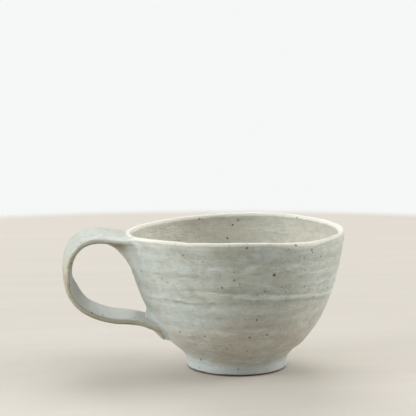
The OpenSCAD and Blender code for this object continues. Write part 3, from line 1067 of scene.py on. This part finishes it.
def outerColour(look, f):  # cool where the glaze is thick, warm where the clay shows through
    warm = mask(plus(times(f.cloud, 0.6), times(f.streak, 0.4)), "warm")
    layers = [(mask(f.streak, "cool"), "outsideCool"), (times(warm, look["warmth"]), "outsideWarm")]
    if look["lowWarmth"]:
        right = toSide(f, "low")
        edge = ragged(f, f.z, "lowHeight")
        low = times(mask(edge, "lowHeight"), mask(right, "lowSide"), look["lowWarmth"])
        darkEnd = mask(toSide(f, "darkEnd"), "darkEnd")
        high = times(mask(f.z, "darkHeight"), mask(right, "darkSide"), darkEnd)
        # Where one dip of glaze lies over another
        cut = ragged(f, toSide(f, "lap"), "lapEdge")
        lap = times(mask(cut, "lapEdge"), mask(edge, "lapTop"), mask(edge, "lapFoot"))
        layers += [
            (low, "lowGlaze"),
            (times(mask(f.thinRun, "darkRuns"), high), "darkGlaze"),
            (mask(f.thinRun, "milkyRuns"), "milkyGlaze"),
            (lap, "outsideCool"),
        ]
    return layered(look, look["outside"], layers)


def glazeOver(material, look):
    material.use_nodes = True
    tree = material.node_tree
    tree.nodes.clear()
    output = addNode(tree, "ShaderNodeOutputMaterial")
    shader = addNode(tree, "ShaderNodeBsdfPrincipled", {"IOR": 1.5})
    tree.links.new(shader.outputs[0], output.inputs["Surface"])
    f = glazeFields(tree)

    inner = mixColour(mask(f.cloud, "inside"), look["inside"], look["outside"])
    colour = mixColour(f.outside if look["twoSided"] else 1.0, inner, outerColour(look, f))

    # Light and dark of the streaks, and of the relief: partly glaze thickness, partly painted light on the
    # ridges and painted shade in the hollows
    tone = plus(*(centred(getattr(f, name), share) for name, share in toneShares.items()))
    tone = minus(tone, mask(f.wheelLine, "wheelLine"))
    tone = plus(tone, times(f.relief, look["reliefPaintedShading"]), look["tone"])
    colour = mixColour(1.0, colour, greyOf(tone), mode="MULTIPLY")

    # Pools in hollows, breaks over edges, and pale glaze with painted light and a painted highlight at the
    # joints
    poolLine = plus(ragged(f, f.z, "footPool"), mask(toSide(f, "pool"), "poolRise"))
    footPool = times(mask(poolLine, "footPool"), look["footPool"])
    pool = calc("MAXIMUM", patchy(f, "pooled"), footPool, clamp=True)
    thinEdge = times(mask(f.edgeBreak, "thinEdge"), mask(f.fineStreak, "thinPatch"))
    broken = mask(ragged(f, f.edgeBreak, "broken"), "broken")
    layers = [
        (times(pool, look["poolShare"]), "pool"),
        (patchy(f, "paleGlazeAndPaintedLight"), "paleGlazeAndLightWhite"),
        (times(thinEdge, look["breakShare"]), "thin"),
        (times(broken, look["breakShare"]), "broken"),
    ]
    # thin glaze and olive where the stored shade is high: painted shade on faces turned down and in the upper
    # joint's corner, thin glaze on worn edges
    if look["oliveShare"]:
        bare = times(f.shade, plus(f.streak, times(f.fineStreak, 0.8)))
        layers += [
            (patchy(f, "thick"), "thick"),
            (mask(bare, "thinShade"), "thin"),
            (times(mask(bare, "olive"), look["oliveShare"]), "olive"),
        ]

    # Iron: fine grains, larger grains with a rust halo, and the few big spots by place
    jitter = join("ShaderNodeTexNoise", {"Vector": f.place, "Scale": look["grainScale"]}).outputs[1]
    warped = vectorMath("ADD", f.place, scaled(jitter, look["grainShift"]))
    fine, fineChosen = speckles(warped, *grains["fine"])
    large, largeChosen = speckles(warped, *grains["large"], look["grainShare"])
    cores = times(mask(large, "largeGrain"), largeChosen)
    halos = times(mask(large, "halo"), largeChosen)
    for spot, radius in look["spots"]:
        away = vectorMath("DISTANCE", warped, spot, "Value")
        core, halo = (smoothMask(away, *(radius * share for share in spotEdges[name]))
                      for name in ("core", "halo"))
        cores = calc("MAXIMUM", cores, core)
        halos = calc("MAXIMUM", halos, times(halo, min(spotEdges["haloMost"], radius * 1000)))
    iron = calc("MAXIMUM", times(cores, look["coreShare"]), times(mask(fine, "fineGrain"), fineChosen))
    colour = layered(look, colour, [*layers, (halos, "rust"), (iron, "iron")])

    # Gloss, and the fine height of wrinkles and pits
    rough = plus(centred(f.mottle, look["mottleRoughness"]), look["roughness"])
    rough = minus(rough, times(pool, look["poolGloss"]))
    rough = plus(rough, times(cores, look["grainRoughness"]), clamp=True)
    pits, pitChosen = speckles(f.place, *grains["pits"])
    height = plus(times(f.wrinkle, look["wrinkleHeight"]), times(f.mottle, look["mottleHeight"]))
    height = minus(height, times(cores, look["grainHeight"]))
    height = minus(height, times(mask(pits, "pit"), pitChosen))

    if look["bareLine"]:  # bare clay under the foot, up to the wiped edge of the glaze
        bare = smoothMask(ragged(f, f.z, "bare"), *(look["bareLine"] + step for step in look["wipedEdge"]))
        recess = mask(calc("SQRT", plus(times(f.x, f.x), times(f.y, f.y))), "recess")
        bare = calc("MAXIMUM", bare, times(recess, mask(f.z, "recessHeight")))
        paleClay = tuple(look["palerClay"] * c for c in look["bareClay"])
        colour = mixColour(bare, colour, mixColour(f.clay, look["bareClay"], paleClay))
        rough = plus(rough, times(bare, look["clayRoughness"]), clamp=True)
    bump = join("ShaderNodeBump", {"Strength": 1.0, "Distance": 1.0, "Height": height})
    for name, socket in (("Base Color", colour), ("Roughness", rough), ("Normal", bump.outputs[0])):
        tree.links.new(socket, shader.inputs[name])


wallGlaze, footGlaze, strapGlaze, coilGlaze = (
    bpy.data.materials.new(name) for name in ("wallGlaze", "pooledGlaze", "strapGlaze", "coilGlaze"))
bowlPiece, bowlTree, throwValues, bowlRows, bowlCount = throwBowl(wallGlaze)
footPiece = turnFoot(footGlaze, bowlTree, throwValues)
strapPiece = pullStrap(strapGlaze)
bowlSkin = skinTree(bowlPiece.data)
strapSkinTree = skinTree(strapPiece.data)
upperPiece, upperShares, upperHill = workCoil("upperCoil", upperCoil, bowlSkin, coilGlaze)
lowerPiece, lowerShares, lowerHill = workCoil("lowerCoil", lowerCoil, bowlSkin, coilGlaze)
pieces = (bowlPiece, footPiece, strapPiece, upperPiece, lowerPiece)
for piece in pieces:
    makeOutward(piece.data)


# What the glaze does where, and where light and shade are painted: each value is stored on the points and
# read by the materials

# painted highlight on pale pooled glaze in the front lower corner of the lower joint
paintedHighlightCorner = {"middle": (-0.0508, -0.0060, 0.0305), "reach": (0.0062, 0.0100, 0.0056), "most": 1.5}
sensing = {"halfRows": 9, "fullRelief": 0.00022, "from": 0.018, "run": 0.008}
jointGlaze = {
    "lowFrom": 0.050,  # glaze pools below here, and above here the wall beside the upper joint gets painted light
    "lowRun": -0.012,
    "lowShare": 0.8,
    "highRun": 0.006,
    "highPaintedLightShare": 0.35,
    "footShare": 0.2,
    "outwardRun": 0.4,
    "coilPaintedLight": 0.80,
    "coilSteepness": 2.2,
    "cornerPaintedShade": 0.85,  # painted shade in the corner under the strap, between the upper coil and the strap
    "cornerMost": 1.4,
    "cornerReach": 0.0045,
    "cornerFrom": -0.0610,
    "cornerRun": -0.0100,
}
strapBands = {"worn": (0.0510, 0.0120, 1.5), "thin": (0.0655, 0.0052, 1.4)}  # height, half height, strength
strapMasks = {  # each a product of ramps: what is read, where its ramp starts and how far it runs
    "innerFace": (("facingX", 0.15, 0.4), ("z", 0.066, -0.010)),
    "tail": (("z", 0.034, -0.006), ("x", -0.066, 0.008)),
    "besideEdge": (("sideways", 0.35, 0.45),),
    "outerBend": (("x", -0.082, -0.008),),
    "thinSide": (("sideways", 0.12, 0.4), ("x", -0.086, -0.006)),
    "lowSide": (("z", 0.046, -0.006), ("x", -0.0560, -0.004)),
    "offRoot": (("x", -0.0630, -0.006),),
    "level": (("facingZ", 0.1, 0.6), ("z", 0.060, -0.015)),
    "nearRoot": (("x", -0.084, 0.012), ("z", 0.064, 0.004), ("sideways", 0.2, 0.4), ("facingZ", -0.35, 0.4)),
    "landing": (("x", -0.078, 0.016), ("z", 0.050, -0.008), ("facingZ", 0.1, 0.5)),
    "notUnder": (("facingZ", -0.45, 0.4),),
}


def reliefOf(mesh, rows, count):  # how far each point stands out of the wall round it, from -1 to 1
    points = readPoints(mesh)[:rows * count].reshape(rows, count, 3)
    radius = np.hypot(points[:, :, 0], points[:, :, 1])
    half = sensing["halfRows"]
    padded = np.pad(radius, ((half, half), (0, 0)), mode="edge")
    smooth = sum(padded[i:i + rows] for i in range(2 * half + 1)) / (2 * half + 1)
    relief = np.clip((radius - smooth) / sensing["fullRelief"], -1, 1)
    relief *= ramp(points[:, :, 2], sensing["from"], sensing["run"])
    return np.append(relief, np.zeros(len(mesh.vertices) - rows * count))


def paintedLightAt(mesh, pooled=0.0):  # pale glaze and painted light round the joints, and a painted highlight on pale pooled glaze in the front lower corner
    points = readPoints(mesh)
    away = np.linalg.norm((points - paintedHighlightCorner["middle"]) / np.array(paintedHighlightCorner["reach"]), axis=1)
    high = ramp(points[:, 2], jointGlaze["lowFrom"], jointGlaze["highRun"]) * pooled * jointGlaze["highPaintedLightShare"]
    return np.clip(np.maximum(ease(paintedHighlightCorner["most"] - away), high), 0, 1)


storeValues(bowlPiece.data, "relief", reliefOf(bowlPiece.data, bowlRows, bowlCount))
for piece, skin in ((bowlPiece, strapSkinTree), (strapPiece, bowlSkin)):
    pooled = blendOnto(piece.data, skin)
    low = ramp(readPoints(piece.data)[:, 2], jointGlaze["lowFrom"], jointGlaze["lowRun"])
    storeValues(piece.data, "pooled", pooled * low * jointGlaze["lowShare"])
    if piece is bowlPiece:
        x, y = readPoints(piece.data)[:, :2].T
        normals = readNormals(piece.data)
        outward = (normals[:, 0] * x + normals[:, 1] * y) / np.maximum(np.hypot(x, y), 0.001)
        facingOut = ease(outward / jointGlaze["outwardRun"])
        # painted light beside the upper joint, and the painted highlight at the lower joint, on faces turned
        # out
        storeValues(piece.data, "paleGlazeAndPaintedLight", paintedLightAt(piece.data, pooled) * facingOut)
print("corners filled")

storeValues(footPiece.data, "pooled", jointGlaze["footShare"])
# painted highlight on the lower coil
storeValues(lowerPiece.data, "paleGlazeAndPaintedLight", paintedLightAt(lowerPiece.data))
storeOnFace(lowerPiece.data, "pooled", np.outer(np.sqrt(lowerShares), lowerHill))
# painted light on the upper coil, which the strap shades
upperPaintedLight = np.outer(*(ease(values * jointGlaze["coilSteepness"]) for values in (upperShares, upperHill)))
storeOnFace(upperPiece.data, "paleGlazeAndPaintedLight", jointGlaze["coilPaintedLight"] * upperPaintedLight)
# painted shade on the upper coil next to the strap's underside
coilPoints = readPoints(upperPiece.data)
toStrap = np.array([strapSkinTree.find_nearest(Vector(point))[3] for point in coilPoints])
corner = ease(jointGlaze["cornerMost"] - toStrap / jointGlaze["cornerReach"])
corner *= ramp(coilPoints[:, 0], jointGlaze["cornerFrom"], jointGlaze["cornerRun"])
storeValues(upperPiece.data, "shade", jointGlaze["cornerPaintedShade"] * corner)


def band(z, name):  # 1 round a height, fading above and below it
    middle, half, most = strapBands[name]
    return ease(most - np.abs(z - middle) / half)


def tintStrap(mesh):
    x, y, z = readPoints(mesh).T
    facingX, facingY, facingZ = readNormals(mesh).T
    values = {"x": x, "z": z, "facingX": facingX, "facingZ": facingZ, "sideways": np.abs(facingY)}
    m = SimpleNamespace(**{name: math.prod(ramp(values[key], *run) for key, *run in parts)
                           for name, parts in strapMasks.items()})
    shade = np.clip((0.45 - facingZ) / 1.25, 0, 1) ** 1.3  # thinner glaze, and painted shade, on what faces down
    shade *= (1 - 0.95 * m.innerFace) * (1 - 0.35 * m.tail) * np.where(z > 0.05, m.offRoot, 1.0)
    worn = band(z, "worn") * m.outerBend
    worn *= (0.76 - 0.24 * m.besideEdge) * (1 - 0.9 * m.innerFace)
    thinSide = 0.72 * m.thinSide * band(z, "thin")
    lowSide = 0.36 * m.besideEdge * m.lowSide
    storeValues(mesh, "shade", np.maximum.reduce([shade, worn, thinSide, lowSide]))
    storeValues(mesh, "thick", np.maximum(m.level, 0.9 * m.innerFace))  # thick glaze on level faces; painted light on the shaded low inner face
    # pale glaze near the root; painted light on the landing and the tail, which lie in shade, with pale glaze
    # there too
    storeValues(mesh, "paleGlazeAndPaintedLight", np.maximum.reduce([
        paintedLightAt(mesh), 0.9 * m.nearRoot, 0.95 * m.landing, 0.5 * m.tail * m.notUnder]))


tintStrap(strapPiece.data)
for piece in pieces:
    for name in glazeValues:
        if name not in piece.data.attributes:
            storeValues(piece.data, name, 0.0)

wallLook = dict(glaze, twoSided=True, footPool=1.0, breakShare=0.95, bareLine=0.00115,
                spots=[(wallSpot(bowlSkin, a, z), r) for a, z, r in ironSpots])
footLook = dict(wallLook, twoSided=False, spots=[])
strapLook = dict(glaze, warmth=0.40, breakShare=0.80, oliveShare=0.85, lowWarmth=0.0, grainShare=0.75,
                 spots=[(tuple(strapSkinTree.find_nearest(Vector(p))[0]), r) for p, r in strapSpots],
                 outside=(0.535, 0.558, 0.492), outsideCool=(0.522, 0.558, 0.506))
# the coils use the olive layers for the painted shade in the upper corner
coilLook = dict(glaze, oliveShare=0.85)
looks = ((wallGlaze, wallLook), (footGlaze, footLook), (strapGlaze, strapLook), (coilGlaze, coilLook))
for material, look in looks:
    glazeOver(material, look)
print("glazed")

for piece, node, slot in (
    (bowlPiece, "bowl", "wall_glaze"),
    (footPiece, "foot_ring", "pooled_glaze"),
    (strapPiece, "handle_strap", "strap_glaze"),
    (upperPiece, "upper_luting_coil", "wall_glaze"),
    (lowerPiece, "lower_luting_coil", "wall_glaze"),
):
    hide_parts(node)
    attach(piece, "root")
print("pieces placed")


# Studio: a pale round table, a soft window from the left, a weaker one from behind on the right

studio = {
    "tableRadius": 0.645,
    "table": (0.612, 0.574, 0.520),
    "grainStretch": (1.0, 9.0, 1.0),
    "grain": (7.0, 4.0, 0.6, 0.0),
    "grainShare": 0.10,
    "paintedLightFrom": 0.16,  # painted light: paler from here to the front, where the lamps light the table less
    "paintedLightTo": -0.08,
    "paintedLightShare": 0.15,
    "backdrop": (0.92, 0.935, 0.93),
    "fill": 0.12,
    "fillColour": (0.95, 0.98, 1.0),
    "cameraPlace": (-0.1628, -1.0276, 0.2402),
    "cameraTilt": 81.882,
    "cameraTurn": -8.086,
    "lens": 159.4,
    "sensor": 36.0,
    "lampsAimAt": (0.0, 0.0, 0.04),
}
lamps = [  # name, place, size, watts, colour
    ("leftWindow", (-1.30, -0.12, 0.40), 0.74, 12.5, (0.98, 1.0, 1.0)),
    ("rightWindow", (1.30, 0.08, 0.55), 0.9, 13.0, (1.0, 0.99, 0.95)),
    ("backWindow", (0.0, 1.35, 1.25), 1.3, 17.0, (1.0, 1.0, 1.0)),
    ("farLeftWindow", (-1.1, 1.0, 0.5), 0.9, 5.0, (1.0, 1.0, 1.0)),
    ("ceiling", (0.0, -0.3, 1.5), 2.4, 14.0, (1.0, 1.0, 1.0)),
]


def tableMaterial():
    material = bpy.data.materials.new("paleTable")
    material.use_nodes = True
    tree = material.node_tree
    tree.nodes.clear()
    output = addNode(tree, "ShaderNodeOutputMaterial")
    place = addNode(tree, "ShaderNodeTexCoord").outputs["Object"]
    mark = noise(stretched(place, studio["grainStretch"]), *studio["grain"])
    depth = join("ShaderNodeSeparateXYZ", {0: place}).outputs["Y"]
    # painted light on the table, paler towards the front
    pale = smoothMask(depth, studio["paintedLightFrom"], studio["paintedLightTo"])
    tone = plus(centred(mark, studio["grainShare"]), 0.97, times(pale, studio["paintedLightShare"]))
    colour = mixColour(1.0, studio["table"], greyOf(tone), mode="MULTIPLY")
    look = {"Base Color": colour, "Roughness": 0.8, "Specular IOR Level": 0.1}
    wood = addNode(tree, "ShaderNodeBsdfPrincipled", look)
    away = join("ShaderNodeVectorMath", {0: place}, operation="LENGTH").outputs["Value"]
    edge = smoothMask(away, studio["tableRadius"] * 0.93, studio["tableRadius"] * 0.999)
    seen = addNode(tree, "ShaderNodeLightPath").outputs["Is Camera Ray"]
    wall = addNode(tree, "ShaderNodeEmission", {"Color": (*studio["backdrop"], 1.0), "Strength": 1.0})
    both = join("ShaderNodeMixShader", {0: times(edge, seen), 1: wood.outputs[0], 2: wall.outputs[0]})
    tree.links.new(both.outputs[0], output.inputs["Surface"])
    return material


edgeCount = 128
rim = [(studio["tableRadius"] * math.cos(a), studio["tableRadius"] * math.sin(a), 0.0)
       for a in np.linspace(0, 2 * math.pi, edgeCount, endpoint=False)]
tableMesh = addMesh("table", rim, [tuple(range(edgeCount))])
table = bpy.data.objects.new("table", tableMesh)
bpy.context.scene.collection.objects.link(table)
tableMesh.materials.append(tableMaterial())

for name, place, size, watts, colour in lamps:
    light = bpy.data.lights.new(name, "AREA")
    light.shape, light.size, light.energy, light.color = "SQUARE", size, watts, colour
    lamp = bpy.data.objects.new(name, light)
    lamp.location = place
    aim = Vector(studio["lampsAimAt"]) - Vector(place)
    lamp.rotation_euler = aim.to_track_quat("-Z", "Y").to_euler()
    bpy.context.scene.collection.objects.link(lamp)

world = bpy.data.worlds.new("paleRoom")
world.use_nodes = True
air = world.node_tree
air.nodes.clear()
skyOut = addNode(air, "ShaderNodeOutputWorld")
path = addNode(air, "ShaderNodeLightPath").outputs
skies = ((studio["fillColour"], studio["fill"]), (studio["backdrop"], 1.0))  # what lights, and what is seen
fill, wallSeen = (
    addNode(air, "ShaderNodeBackground", {"Color": (*colour, 1.0), "Strength": strength}).outputs[0]
    for colour, strength in skies)
sky = join("ShaderNodeMixShader", {0: path["Is Camera Ray"], 1: fill, 2: wallSeen})
air.links.new(sky.outputs[0], skyOut.inputs["Surface"])
bpy.context.scene.world = world

lens = bpy.data.cameras.new("camera")
lens.lens, lens.sensor_width = studio["lens"], studio["sensor"]
camera = bpy.data.objects.new("camera", lens)
camera.location = studio["cameraPlace"]
camera.rotation_euler = (math.radians(studio["cameraTilt"]), 0.0, math.radians(studio["cameraTurn"]))
bpy.context.scene.collection.objects.link(camera)
bpy.context.scene.camera = camera
bpy.context.scene.view_settings.view_transform = "Standard"
print("studio lit")
